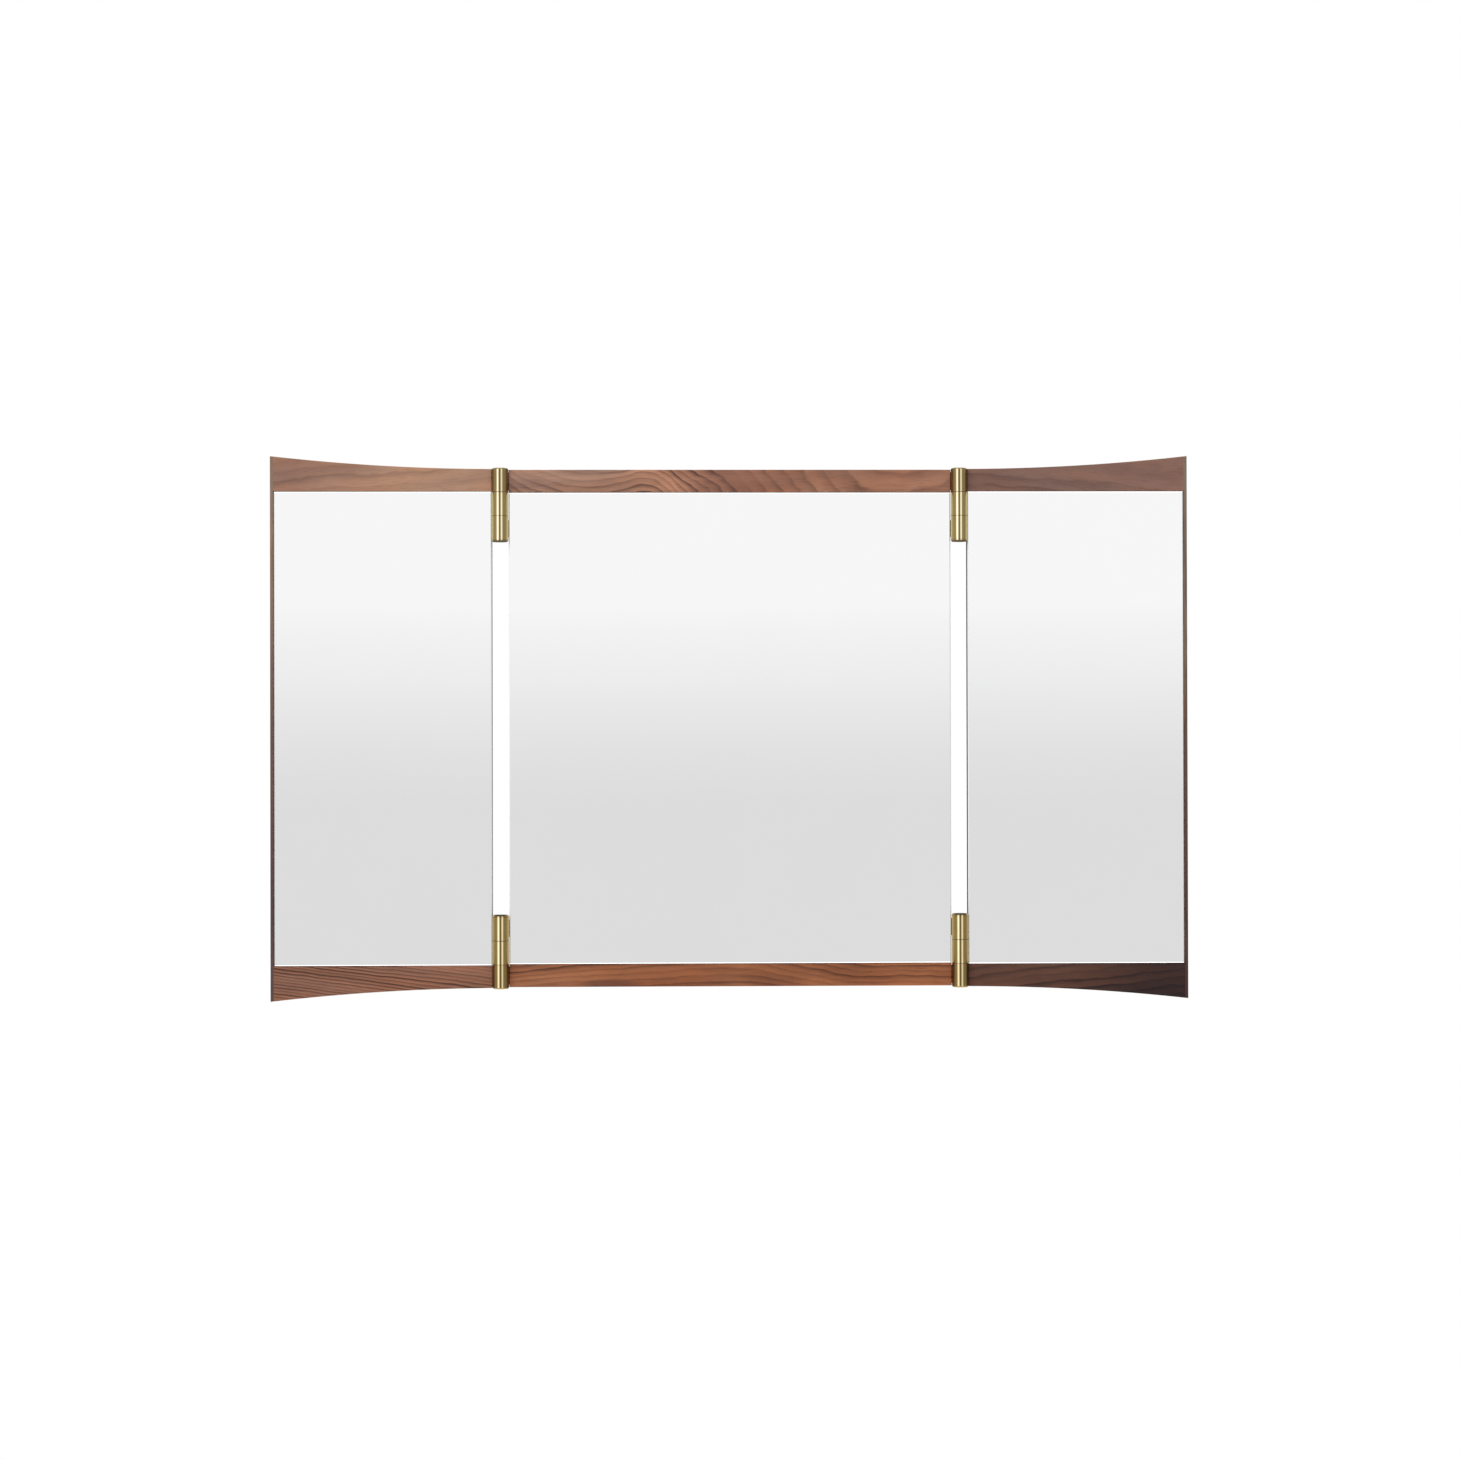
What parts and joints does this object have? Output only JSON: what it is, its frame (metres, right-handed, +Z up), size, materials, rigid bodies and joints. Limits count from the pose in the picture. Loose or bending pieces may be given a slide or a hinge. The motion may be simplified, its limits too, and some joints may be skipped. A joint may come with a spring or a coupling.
{
  "type": "three-panel vanity mirror",
  "caption": "Wall-hung vanity mirror in three panels, walnut rails above and below, with flared side wings that fold over the centre mirror on brass barrel hinges.",
  "frame": {"origin": "middle of the centre panel's back face, on the wall", "axes": "+X to the viewer's right, +Y into the wall, +Z up"},
  "size_m": [1.1724, 0.0306, 0.695],
  "materials": {
    "walnut": "oiled walnut, satin, flowing figure",
    "back_board": "veneered board, matt, stained brown",
    "mirror_glass": "silvered glass, polished arrised edges",
    "bonding_tape": "double-sided foam tape",
    "brass": "polished brass, fine turning lines",
    "zinc_steel": "zinc-plated pressed steel"
  },
  "bodies": {
    "centre_panel": {"centre_back_board": "back_board", "centre_top_rail": "walnut", "centre_bottom_rail": "walnut", "centre_mirror": "mirror_glass", "centre_mirror_tape": "bonding_tape", "keyhole_plates": "zinc_steel", "left_hinge_centre_leaves": "brass", "left_hinge_pins": "brass", "left_hinge_washers": "brass", "right_hinge_centre_leaves": "brass", "right_hinge_pins": "brass", "right_hinge_washers": "brass"},
    "left_wing": {"left_wing_back_board": "back_board", "left_wing_mirror": "mirror_glass", "left_wing_mirror_tape": "bonding_tape", "left_wing_top_rail": "walnut", "left_wing_bottom_rail": "walnut", "left_wing_outer_stile": "walnut", "left_hinge_wing_leaves": "brass"},
    "right_wing": {"right_wing_back_board": "back_board", "right_wing_mirror": "mirror_glass", "right_wing_mirror_tape": "bonding_tape", "right_wing_top_rail": "walnut", "right_wing_bottom_rail": "walnut", "right_wing_outer_stile": "walnut", "right_hinge_wing_leaves": "brass"}
  },
  "joints": [
    {"name": "left_wing_hinge", "type": "hinge", "parent": "centre_panel", "child": "left_wing", "pos_m": [-0.29335, -0.02, 0], "axis": [0, 0, 1], "range_deg": [0, 180]},
    {"name": "right_wing_hinge", "type": "hinge", "parent": "centre_panel", "child": "right_wing", "pos_m": [0.29335, -0.02, 0], "axis": [0, 0, -1], "range_deg": [0, 180]}
  ]
}
